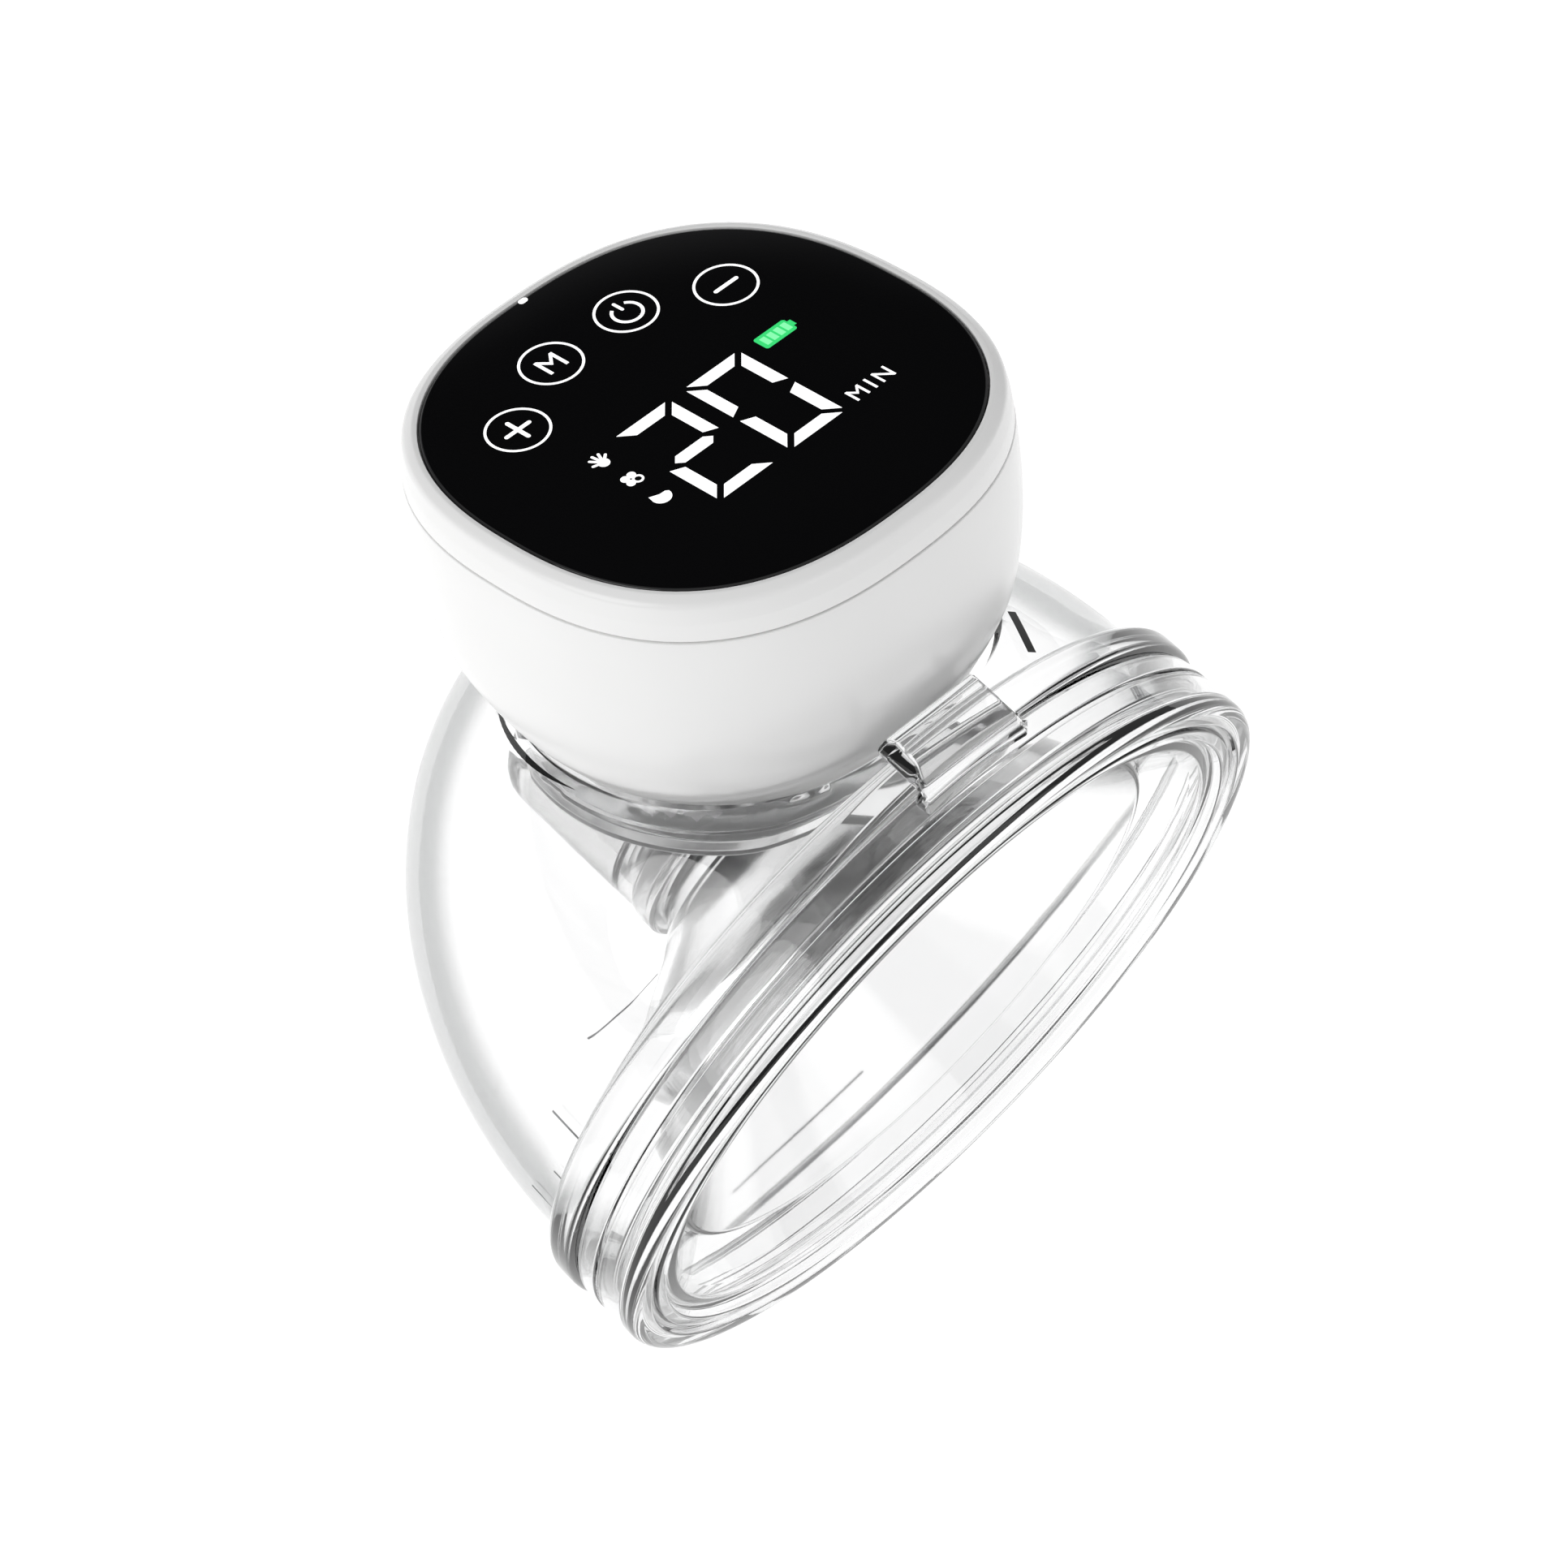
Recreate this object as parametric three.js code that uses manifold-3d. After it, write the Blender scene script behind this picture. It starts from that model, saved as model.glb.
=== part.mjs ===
// Wearable breast pump: a motor unit with a touch display sits on a clear milk cup, and a clear breast
// shield snaps onto the cup's front. Millimetres, +Z up as worn, -Y towards the wearer, +X the wearer's
// side that the display's text runs to. The origin is the centre of the shield's front lip.
import * as THREE from "three";
import { mergeVertices } from "three/addons/utils/BufferGeometryUtils.js";
import Module from "manifold-3d";

// Overall layout.
const LEAN = THREE.MathUtils.degToRad(20.5); // the motor unit leans forward, away from the wearer
const PANEL_CENTRE = new THREE.Vector3(0, 62, 72.6);
const OVAL = 1.025; // the shield and the cup are this much wider than high
const GAP = 0.3; // between pieces that touch
const TUNNEL_Z = -1.5; // the tunnel's axis lies a little below the lip's centre

// Motor unit, in its own frame: x along the text, y up the text, z out of the panel, 0 at its face.
const SQUARENESS = 2.45; // superellipse exponent of the panel and the bezel
const PANEL_R = 33;
const PANEL_T = 1.6;
const PARTING = -5.8; // the seam between bezel and lower shell
const BASE = -40.6; // underside of the lower shell
const FLOOR = -38.8; // its inside
const KEY_R = 4.26;
const KEYS = [
  ["plus", -17.9, 14.3],
  ["mode", -6.3, 20.5],
  ["power", 6.8, 20.5],
  ["minus", 18.4, 14.3],
];
const DIGIT_W = 7.8; // between the centre lines of a digit's uprights
const DIGIT_H = 16.9;
const DIGIT_Y = -5.7;
const DIGITS = [-7.1, 5.05];
const POST = [15.5, 16.5];
const PUMP_Y = 2;
const PUMP_Z = -29.8;

// Cup and linker.
const RIM_R = 56.2;
const CUP_R = 53;
const CUP_DEPTH = 65; // the cup's back lies this far behind its widest ring
const CUP_START = 17;
const CUP_WALL = 1.8;
const NECK_Y = 50;
const VALVE_Y = 58;

// Facets round a full turn: the large oval pieces, the motor unit's shells, and the round parts inside.
const OVAL_FACETS = 44;
const SHELL_FACETS = 48;
const ROUND_FACETS = 32;

const wasm = await Module();
wasm.setup();
const group = new THREE.Group();
group.name = "wearable_breast_pump";

const SLOTS = {
  white_shell: [0xf2f2f2, 0.3, 0],
  black_panel: [0x0c0c0d, 0.08, 0],
  clear_plastic: [0xe9eef0, 0.05, 0],
  frosted_plastic: [0xdfe3e5, 0.25, 0],
  clear_silicone: [0xeceff0, 0.4, 0],
  mask_plastic: [0x1c1c1e, 0.7, 0],
  foam: [0x2b2b2d, 0.95, 0],
  circuit_board: [0x1f5c3a, 0.55, 0],
  chassis_plastic: [0xb9bcc0, 0.6, 0],
  battery_wrap: [0x2f6fb0, 0.4, 0],
  steel: [0xb4b7ba, 0.3, 1],
  pump_plastic: [0x26282b, 0.5, 0],
  connector_plastic: [0x151517, 0.6, 0],
};

// ---- solids ----
function solid(geometry) {
  const plain = new THREE.BufferGeometry();
  const loose = geometry.index ? geometry.toNonIndexed() : geometry;
  plain.setAttribute("position", loose.getAttribute("position"));
  const merged = mergeVertices(plain, 1e-3);
  const index = merged.index.array;
  const kept = [];
  for (let i = 0; i < index.length; i += 3) {
    const [a, b, c] = [index[i], index[i + 1], index[i + 2]];
    if (a !== b && b !== c && c !== a) kept.push(a, b, c);
  }
  const made = new wasm.Manifold(
    new wasm.Mesh({
      numProp: 3,
      vertProperties: merged.attributes.position.array,
      triVerts: new Uint32Array(kept),
    }),
  );
  return made;
}

// A closed profile of [radius, height] turned about the Y axis.
function turned(profile, segments) {
  let area = 0;
  profile.forEach(([r, h], i) => {
    const [r2, h2] = profile[(i + 1) % profile.length];
    area += r * h2 - r2 * h;
  });
  const loop = area > 0 ? profile : [...profile].reverse();
  const onAxis = loop.some(([r]) => r === 0);
  let points = loop.map(([r, h]) => new THREE.Vector2(r, h));
  if (onAxis) {
    // the loop starts and ends on the axis
    const n = points.length;
    const start = loop.findIndex(([r], i) => r === 0 && loop[(i + n - 1) % n][0] === 0);
    points = points.map((_, i) => points[(start + i) % n]);
  } else {
    points.push(points[0].clone());
  }
  return new THREE.LatheGeometry(points, segments);
}

// The same about the Z axis.
function turnedZ(profile, segments) {
  return turned(profile, segments).rotateX(Math.PI / 2);
}

// Pulls a turned shape out to a superellipse, squarest at the top and round at the base.
function squared(geometry, exponent = () => SQUARENESS) {
  const p = geometry.getAttribute("position");
  for (let i = 0; i < p.count; i++) {
    const r = Math.hypot(p.getX(i), p.getY(i));
    if (r < 1e-6) continue;
    const n = exponent(p.getZ(i));
    const c = Math.abs(p.getX(i) / r) ** n + Math.abs(p.getY(i) / r) ** n;
    const k = c ** (-1 / n);
    p.setXY(i, p.getX(i) * k, p.getY(i) * k);
  }
  return geometry;
}
const shellExponent = (z) => (z > -30 ? SQUARENESS : SQUARENESS - (0.35 * (-30 - z)) / 10);

function box(x0, x1, y0, y1, z0, z1) {
  const g = new THREE.BoxGeometry(x1 - x0, y1 - y0, z1 - z0);
  return solid(g.translate((x0 + x1) / 2, (y0 + y1) / 2, (z0 + z1) / 2));
}

function rod(radius, z0, z1, x = 0, y = 0, segments = 24) {
  const g = new THREE.CylinderGeometry(radius, radius, z1 - z0, segments);
  return solid(g.rotateX(Math.PI / 2).translate(x, y, (z0 + z1) / 2));
}

function rodX(radius, x0, x1, y, z, segments = 28) {
  const g = new THREE.CylinderGeometry(radius, radius, x1 - x0, segments);
  return solid(g.rotateZ(Math.PI / 2).translate((x0 + x1) / 2, y, z));
}

function add(parent, name, shape, slot) {
  const made = shape.getMesh();
  const geometry = new THREE.BufferGeometry();
  geometry.setAttribute("position", new THREE.BufferAttribute(made.vertProperties, 3));
  geometry.setIndex(new THREE.BufferAttribute(made.triVerts, 1));
  const flat = geometry.toNonIndexed();
  flat.computeVertexNormals();
  const [color, roughness, metalness] = SLOTS[slot];
  const material = new THREE.MeshStandardMaterial({ color, roughness, metalness, name: slot });
  const mesh = new THREE.Mesh(flat, material);
  mesh.name = name;
  parent.add(mesh);
}

// ---- motor unit ----
const motorUnit = new THREE.Group();
motorUnit.name = "motor_unit";
motorUnit.rotation.x = -LEAN;
motorUnit.position.copy(PANEL_CENTRE);
motorUnit.updateMatrix();
group.add(motorUnit);
const inRow = (shape) => shape.transform(motorUnit.matrix.elements);

const panelBottom = -PANEL_T;
add(
  motorUnit,
  "touch_panel",
  solid(
    squared(
      turnedZ([[0, panelBottom], [PANEL_R, panelBottom], [PANEL_R, -0.3], [PANEL_R - 0.3, 0], [0, 0]], SHELL_FACETS),
    ),
  ),
  "black_panel",
);

const bezelProfile = [
  [PANEL_R + GAP, -0.2],
  [PANEL_R + 0.7, 0.1],
  [PANEL_R + 1.4, -0.3],
  [PANEL_R + 2.1, -1.6],
  [PANEL_R + 2.5, -3.6],
  [PANEL_R + 2.75, PARTING + 0.1],
  [PANEL_R + 0.9, PARTING + 0.1],
  [PANEL_R + 0.9, -3.6],
  [31, -3.6],
  [31, panelBottom - GAP],
  [PANEL_R + GAP, panelBottom - GAP],
];
add(motorUnit, "bezel_shell", solid(squared(turnedZ(bezelProfile, SHELL_FACETS))), "white_shell");

// The lower shell: a round-shouldered bowl with a tongue inside the bezel's skirt.
const seam = PARTING - 0.2;
const bowlOutside = [
  [35.8, seam],
  [36.0, -12],
  [35.9, -18],
  [35.2, -25],
  [33.9, -31],
  [32.2, -35.5],
  [30.3, -38.8],
  [28.5, BASE],
];
const bowlInside = [
  [27.6, FLOOR],
  [29.4, -37.2],
  [32.0, -30.8],
  [33.2, -25],
  [33.8, -18],
  [33.8, -12],
  [32.2, -8.5],
  [32.2, seam + 1.6],
  [33.6, seam + 1.6],
  [33.6, seam],
];
let lowerShell = solid(
  squared(turnedZ([...bowlOutside, [0, BASE], [0, FLOOR], ...bowlInside], SHELL_FACETS), shellExponent),
);
// Charging port: a pocket for its cover and a slot through a thickened wall.
const PORT_Z = -19;
const POCKET = { w: 13.4, h: 7.6, y: 34.2 };
lowerShell = lowerShell
  .add(box(-8.5, 8.5, 31.2, 34.9, PORT_Z - 5.4, PORT_Z + 5.4))
  .subtract(box(-POCKET.w / 2, POCKET.w / 2, POCKET.y, 40, PORT_Z - POCKET.h / 2, PORT_Z + POCKET.h / 2))
  .subtract(box(-4.8, 4.8, 28, 40, PORT_Z - 1.95, PORT_Z + 1.95))
  .subtract(rod(3.3, BASE - 1, FLOOR + 1));
const posts = [[1, 1], [-1, 1], [-1, -1], [1, -1]].map(([sx, sy]) => [sx * POST[0], sy * POST[1]]);
for (const [x, y] of posts) {
  lowerShell = lowerShell
    .subtract(rod(2.3, BASE - 1, BASE + 1, x, y, 20))
    .subtract(rod(1.3, BASE - 1, FLOOR + 1, x, y, 16));
}
add(motorUnit, "lower_shell", lowerShell, "white_shell");

// Light mask under the panel: windows for the segments, icons and keys.
const maskTop = panelBottom - GAP;
const maskBottom = maskTop - 1.7;
let mask = solid(squared(turnedZ([[0, maskBottom], [30.6, maskBottom], [30.6, maskTop], [0, maskTop]], ROUND_FACETS)));
const window = (x, y, w, h) => box(x - w / 2, x + w / 2, y - h / 2, y + h / 2, maskBottom - 1, maskTop + 1);
for (const cx of DIGITS) {
  for (const row of [-1, 0, 1]) {
    mask = mask.subtract(window(cx, DIGIT_Y + (row * DIGIT_H) / 2, 5.2, 1.8));
  }
  for (const sx of [-1, 1]) {
    for (const sy of [-1, 1]) {
      mask = mask.subtract(window(cx + (sx * DIGIT_W) / 2, DIGIT_Y + (sy * DIGIT_H) / 4, 1.8, 5.4));
    }
  }
}
for (const y of [1.8, -3.6, -9]) {
  mask = mask.subtract(rod(1.8, maskBottom - 1, maskTop + 1, -15.8, y, 12));
}
mask = mask.subtract(window(15.3, 2.3, 5.6, 2.8)).subtract(window(15.4, -13.9, 7.6, 2.4));
for (const [, x, y] of KEYS) mask = mask.subtract(rod(KEY_R - 0.4, maskBottom - 1, maskTop + 1, x, y, 20));
add(motorUnit, "light_mask", mask, "mask_plastic");

for (const [name, x, y] of KEYS) {
  add(motorUnit, "key_pad_" + name, rod(KEY_R - 0.8, maskBottom, maskTop, x, y, 18), "foam");
}

const displayTop = maskBottom - GAP;
const displayBottom = displayTop - 1.3;
const plate = (r, z0, z1, n) =>
  solid(squared(turnedZ([[0, z0], [r, z0], [r, z1], [0, z1]], ROUND_FACETS), () => n));
add(motorUnit, "display_board", plate(30.8, displayBottom, displayTop, SQUARENESS), "circuit_board");

const mainTop = -8.3;
const mainBottom = -9.6;
add(
  motorUnit,
  "board_connector",
  box(-7, 7, -23, -19.5, mainTop + GAP, displayBottom - GAP),
  "connector_plastic",
);
add(motorUnit, "main_board", plate(29, mainBottom, mainTop, 3), "circuit_board");

// Chassis: a plate with a window over the battery and four screw posts.
const chassisTop = mainBottom - GAP;
const chassisBottom = chassisTop - 2;
let chassis = plate(31.2, chassisBottom, chassisTop, SQUARENESS).subtract(
  box(-9, 9, -7, 7, chassisBottom - 1, chassisTop + 1),
);
for (const [x, y] of posts) {
  chassis = chassis
    .add(rod(2.4, FLOOR + GAP, chassisBottom + 0.5, x, y, 20))
    .subtract(rod(1.3, FLOOR, -30, x, y, 16));
}
add(motorUnit, "chassis_frame", chassis, "chassis_plastic");

const padTop = chassisBottom - GAP;
add(motorUnit, "battery_pad", box(-19, 19, -12, 12, padTop - 0.8, padTop), "foam");
const batteryTop = padTop - 0.8 - GAP;
const batteryBottom = -20.9;
add(motorUnit, "battery_cell", box(-20.5, 20.5, -13, 13, batteryBottom, batteryTop), "battery_wrap");

// Pump: motor can in a rubber sleeve, an eccentric crank, and the pump head.
add(
  motorUnit,
  "pump_motor",
  rodX(7.2, 2, 22, PUMP_Y, PUMP_Z).add(rodX(0.9, 0.2, 2.5, PUMP_Y, PUMP_Z, 12)).add(
    rodX(2.6, 21.5, 23, PUMP_Y, PUMP_Z, 16),
  ),
  "steel",
);
add(
  motorUnit,
  "motor_sleeve",
  rodX(8.4, 6, 18, PUMP_Y, PUMP_Z).subtract(rodX(7.5, 5, 19, PUMP_Y, PUMP_Z)),
  "pump_plastic",
);
add(
  motorUnit,
  "pump_crank",
  rodX(4.4, -1, 1.4, PUMP_Y, PUMP_Z)
    .subtract(rodX(1.2, -0.1, 3, PUMP_Y, PUMP_Z, 12))
    .add(rodX(0.8, -4.2, -0.5, PUMP_Y + 2.4, PUMP_Z, 12)),
  "steel",
);
const head = [-20.5, -4.8];
add(
  motorUnit,
  "pump_head",
  box(head[0], head[1], PUMP_Y - 8, PUMP_Y + 8, -37.8, -22.6)
    .subtract(rodX(4.4, head[1] - 2.5, head[1] + 1, PUMP_Y, PUMP_Z, 20))
    .add(rodX(6.4, head[0] - 2.4, head[0] + 0.5, PUMP_Y, PUMP_Z, 24)),
  "pump_plastic",
);

// Air path: elbow nozzle through the base, tube to the pump head, release valve beside it.
const NOZZLE_END = -42.9;
let nozzle = rod(2.9, NOZZLE_END, -37.5, 0, 0, 20)
  .add(rod(4.4, FLOOR + GAP, -37.3, 0, 0, 20))
  .add(rod(1.7, -37.5, -34.6, 0, 0, 16));
const barb = new THREE.CylinderGeometry(1.5, 1.5, 5, 12).translate(0, -3.6, -36.2);
nozzle = nozzle.add(solid(barb)).subtract(rod(1.1, NOZZLE_END - 1, -36, 0, 0, 12));
add(motorUnit, "air_nozzle", nozzle, "chassis_plastic");
add(
  motorUnit,
  "nozzle_o_ring",
  solid(turnedZ([[3.2, -42.3], [3.6, -42.6], [4.2, -42.6], [4.5, -42.1], [4.2, -41.6], [3.4, -41.6]], 24)),
  "clear_silicone",
);
const tubePath = new THREE.CatmullRomCurve3([
  new THREE.Vector3(0, -6.6, -36.2),
  new THREE.Vector3(0, -8.6, -36.2),
  new THREE.Vector3(-4, -11.6, -35),
  new THREE.Vector3(-10, -11.6, -31),
  new THREE.Vector3(-12, -8.6, -29.8),
  new THREE.Vector3(-12, -6.5, -29.8),
]);
const tubeRing = new THREE.Shape().absarc(0, 0, 1.9, 0, 2 * Math.PI);
tubeRing.holes.push(new THREE.Path().absarc(0, 0, 1.0, 0, 2 * Math.PI, true));
add(
  motorUnit,
  "air_tube",
  solid(new THREE.ExtrudeGeometry(tubeRing, { steps: 10, curveSegments: 4, extrudePath: tubePath })),
  "clear_silicone",
);
const VALVE_BODY = { y: -18, z: -33 };
add(
  motorUnit,
  "release_valve",
  box(-6, 5, VALVE_BODY.y - 3.5, VALVE_BODY.y + 3.5, VALVE_BODY.z - 3.5, VALVE_BODY.z + 3.5).subtract(
    rodX(1.7, -3, 6, VALVE_BODY.y, VALVE_BODY.z, 16),
  ),
  "steel",
);
add(
  motorUnit,
  "valve_plunger",
  rodX(1.4, -0.5, 7.2, VALVE_BODY.y, VALVE_BODY.z, 16).add(
    rodX(2.2, 6.8, 7.8, VALVE_BODY.y, VALVE_BODY.z, 16),
  ),
  "chassis_plastic",
);

// Charging port and its soft cover.
const portY = POCKET.y - 0.6;
add(
  motorUnit,
  "usb_port",
  box(-4.5, 4.5, portY - 7, portY, PORT_Z - 1.65, PORT_Z + 1.65)
    .subtract(box(-4.15, 4.15, portY - 6.4, portY + 1, PORT_Z - 1.3, PORT_Z + 1.3))
    .add(box(-3.3, 3.3, portY - 6.8, portY - 1, PORT_Z - 0.35, PORT_Z + 0.35)),
  "steel",
);
add(
  motorUnit,
  "port_cover",
  box(-6.4, 6.4, POCKET.y + GAP, POCKET.y + 1.5, PORT_Z - 3.5, PORT_Z + 3.5).add(
    box(-4.2, 4.2, POCKET.y - 0.25, POCKET.y + 0.5, PORT_Z - 1.3, PORT_Z + 1.3),
  ),
  "clear_silicone",
);

add(
  motorUnit,
  "base_gasket",
  solid(turnedZ([[17, -42], [20, -42], [20, BASE - GAP], [17, BASE - GAP]], ROUND_FACETS)),
  "clear_silicone",
);
posts.forEach(([x, y], i) => {
  const shank = rod(1, BASE + 0.6, -31.5, x, y, 12);
  const socket = rod(0.8, BASE - 1, BASE + 0.45, x, y, 6);
  add(
    motorUnit,
    "case_screw_" + (i + 1),
    rod(1.9, BASE + 0.1, BASE + 0.7, x, y, 16).add(shank).subtract(socket),
    "steel",
  );
});

// ---- linker: seat dish, neck, tunnel and valve stub in one piece ----
const dish = inRow(
  solid(
    turnedZ(
      [
        [29.0, -42.4],
        [29.4, -43.4],
        [29.6, -48.2],
        [28.8, -49.3],
        [26.2, -49.8],
        [24.6, -48.8],
        [0, -48.8],
        [0, -46.6],
        [18, -46.6],
        [18, -43.9],
        [24, -43.9],
        [24, -42],
        [28.4, -42],
      ],
      OVAL_FACETS,
    ),
  ),
);
const tunnelAxis = (profile) => solid(turned(profile, ROUND_FACETS).translate(0, 0, TUNNEL_Z));
const tunnelOutside = tunnelAxis(
  [[0, 38.8], [16.5, 38.8], [16.5, 41.5], [16, 44.5], [16, 64.5], [14.6, 68.2], [11.4, 70], [0, 70]],
);
const tunnelInside = tunnelAxis(
  [[0, 38], [14.25, 38], [14.25, 46.4], [12.6, 47.4], [12.6, 64], [10.4, 67.6], [0, 67.6]],
);
const sealGroove = tunnelAxis([[14, 40.2], [15.5, 40.2], [15.5, 43], [14, 43]]);
const neckBore = rod(8, -6, 33, 0, NECK_Y, 28);
const stub = rod(4.2, -21.5, -10, 0, VALVE_Y, 24);
const stubBore = rod(3, -22.5, -8, 0, VALVE_Y, 24);
// The neck ends under the dish's floor.
const neck = rod(10.4, 6, 32, 0, NECK_Y, 32).subtract(inRow(rod(24, -47.5, -30)));
const linker = tunnelOutside
  .add(neck)
  .add(stub)
  .add(dish)
  .subtract(tunnelInside)
  .subtract(sealGroove)
  .subtract(neckBore)
  .subtract(stubBore);
add(group, "linker_body", linker, "frosted_plastic");
add(
  group,
  "tunnel_seal_ring",
  tunnelAxis([[14.2, 40.5], [15.2, 40.5], [15.2, 42.7], [14.2, 42.7]]),
  "clear_silicone",
);

add(
  group,
  "silicone_diaphragm",
  inRow(
    solid(
      turnedZ(
        [
          [0, -43.4],
          [9.5, -43.4],
          [11.5, -45],
          [14.5, -45],
          [16.5, -42.4],
          [23.6, -42.4],
          [23.6, -43.6],
          [17.2, -43.6],
          [15.2, -46.1],
          [10.8, -46.1],
          [8.8, -44.5],
          [0, -44.5],
        ],
        ROUND_FACETS,
      ),
    ),
  ),
  "clear_silicone",
);

// Duckbill valve: a sleeve over the stub, closing to two lips.
const VALVE_TOP = -17.9;
const VALVE_MID = -22;
const VALVE_END = -26.5;
const wedge = (topHalf, endHalf, halfLength, top, end) => {
  const s = new THREE.Shape([
    new THREE.Vector2(-topHalf, top),
    new THREE.Vector2(-endHalf, end),
    new THREE.Vector2(endHalf, end),
    new THREE.Vector2(topHalf, top),
  ]);
  const g = new THREE.ExtrudeGeometry(s, { depth: 2 * halfLength, bevelEnabled: false });
  return solid(g.translate(0, 0, -halfLength).rotateX(Math.PI / 2).translate(0, VALVE_Y, 0));
};
const VALVE_R = 5.7;
const VALVE_BORE_R = 4.5;
const taper = (topR, endR, top, end) =>
  solid(turnedZ([[0, end], [endR, end], [topR, top], [0, top]], 32).translate(0, VALVE_Y, 0));
const lips = wedge(VALVE_R + 0.1, 0.9, 6, VALVE_MID, VALVE_END).intersect(
  taper(VALVE_R, 4.2, VALVE_MID, VALVE_END - 0.1),
);
const lipSpace = wedge(VALVE_BORE_R, 0.2, 5, VALVE_MID + 0.01, VALVE_END - 0.1).intersect(
  taper(VALVE_BORE_R, 3.1, VALVE_MID + 0.01, VALVE_END - 0.2),
);
add(
  group,
  "duckbill_valve",
  rod(VALVE_R, VALVE_MID, VALVE_TOP, 0, VALVE_Y, 32)
    .subtract(rod(VALVE_BORE_R, VALVE_MID - 1, VALVE_TOP + 1, 0, VALVE_Y, 32))
    .add(lips)
    .subtract(lipSpace),
  "clear_silicone",
);

// ---- milk cup ----
const oval = (geometry) => solid(geometry.scale(OVAL, 1, 1));
const bulge = (inset, from, steps) => {
  const arc = [];
  for (let i = 0; i <= steps; i++) {
    const t = from + ((Math.PI / 2 - from) * i) / steps;
    arc.push([i === steps ? 0 : (CUP_R - inset) * Math.cos(t), CUP_START + (CUP_DEPTH - inset) * Math.sin(t)]);
  }
  return arc;
};
const cupProfile = [
  [53.2, 4.6],
  [53.2, 10.9],
  [55.7, 11],
  [RIM_R, 11.6],
  [RIM_R, 14.6],
  [55.4, 15.6],
  [53.6, 16.2],
  ...bulge(0, 0.05, 10),
  ...bulge(CUP_WALL, 0, 9).reverse(),
  [51.2, 4.6],
];
const MOUTH_GAP = 1.3;
const mouth = inRow(
  solid(
    squared(
      turnedZ(
        [
          [0, -51.4],
          [30.2, -51.4],
          [30.9, -50],
          [30.9, -41.4],
          ...bowlOutside.slice().reverse().map(([r, z]) => [r + MOUTH_GAP, z]),
          [36, 4],
          [0, 4],
        ],
        SHELL_FACETS,
      ),
      shellExponent,
    ),
  ),
);
add(group, "milk_cup", oval(turned(cupProfile, OVAL_FACETS)).subtract(mouth), "clear_plastic");
add(
  group,
  "cup_rim_seal",
  oval(turned([[51.4, 3], [53.1, 3], [53.1, 4.2], [51.4, 4.2]], OVAL_FACETS)),
  "clear_silicone",
);

// ---- breast shield: ridged front lip, skirt over the cup's mouth, funnel and tunnel ----
const TUNNEL_BORE = 12;
const funnelFront = [
  [41.6, 7.2],
  [28, 21.3],
  [15, 34.2],
  [12.6, 37.2],
  [TUNNEL_BORE, 40],
  [TUNNEL_BORE, 46],
];
const shieldProfile = [
  [55.8, 2.2],
  [55.5, 0.7],
  [54.6, 0],
  [52.6, 0],
  [52.2, 0.9],
  [51.6, 0.9],
  [51.2, 0.3],
  [49.8, 0.3],
  [49.2, 1.2],
  [48.4, 1.5],
  [47.2, 1.3],
  [46.0, 2.4],
  ...funnelFront,
  [13.9, 46],
  [13.9, 38.4],
  [16.8, 35.2],
  [29.6, 22.7],
  [43.0, 8.6],
  [46.6, 4.6],
  [48.6, 2.7],
  [53.7, 2.7],
  [53.7, 10.6],
  [55.5, 10.6],
  [55.8, 10.2],
  [55.8, 7.6],
  [55.2, 7.3],
  [55.2, 6.7],
  [55.8, 6.4],
];
const ovalShield = turned(shieldProfile, OVAL_FACETS);
// The tunnel stays round and drops to its own axis, so the oval and the drop fade out along the funnel.
const shieldPoints = (geometry) => {
  const p = geometry.getAttribute("position");
  for (let i = 0; i < p.count; i++) {
    const fade = THREE.MathUtils.clamp((36 - p.getY(i)) / 30, 0, 1);
    p.setX(i, p.getX(i) * (1 + (OVAL - 1) * fade));
    p.setZ(i, p.getZ(i) + TUNNEL_Z * (1 - fade));
  }
  return geometry;
};
const TAB_HALF = 9;
const TAB_X = -1.5;
const tabOutline = new THREE.Shape()
  .moveTo(7.4, 54.3)
  .lineTo(9.2, 57.2)
  .lineTo(12.4, 59.2)
  .lineTo(16, 59.4)
  .lineTo(17.8, 58.4)
  .lineTo(17.8, 56.7)
  .lineTo(10.4, 56.7)
  .lineTo(10.4, 54.3);
const tabGeometry = new THREE.ExtrudeGeometry(tabOutline, {
  depth: 2 * TAB_HALF - 1.6,
  bevelThickness: 0.8,
  bevelSize: 0.4,
  bevelOffset: -0.4,
  bevelSegments: 1,
});
// The outline's x runs along the part's Y and its y along Z.
const tab = solid(
  tabGeometry
    .translate(0, 0, TAB_X - TAB_HALF + 0.8)
    .applyMatrix4(new THREE.Matrix4().set(0, 0, 1, 0, 1, 0, 0, 0, 0, 1, 0, 0, 0, 0, 0, 1)),
);
add(group, "breast_shield", solid(shieldPoints(ovalShield)).add(tab), "clear_plastic");

// Soft insert lying in the funnel, a wall's thickness inside it.
const INSERT_T = 1.2;
const lift = (distance) => ([r, y]) => (y > 39 ? [r - distance, y] : [r - 0.72 * distance, y - 0.69 * distance]);
const insertBack = funnelFront.map(lift(GAP + 0.05));
const insertFront = funnelFront.map(lift(GAP + 0.05 + INSERT_T)).reverse();
add(
  group,
  "flange_insert",
  solid(shieldPoints(turned([...insertBack, ...insertFront], OVAL_FACETS))),
  "clear_silicone",
);

export default group;
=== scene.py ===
"""Looks for a wearable breast pump: white motor unit, clear milk cup, clear breast shield."""
import math

import bpy
from mathutils import Matrix, Vector


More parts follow.
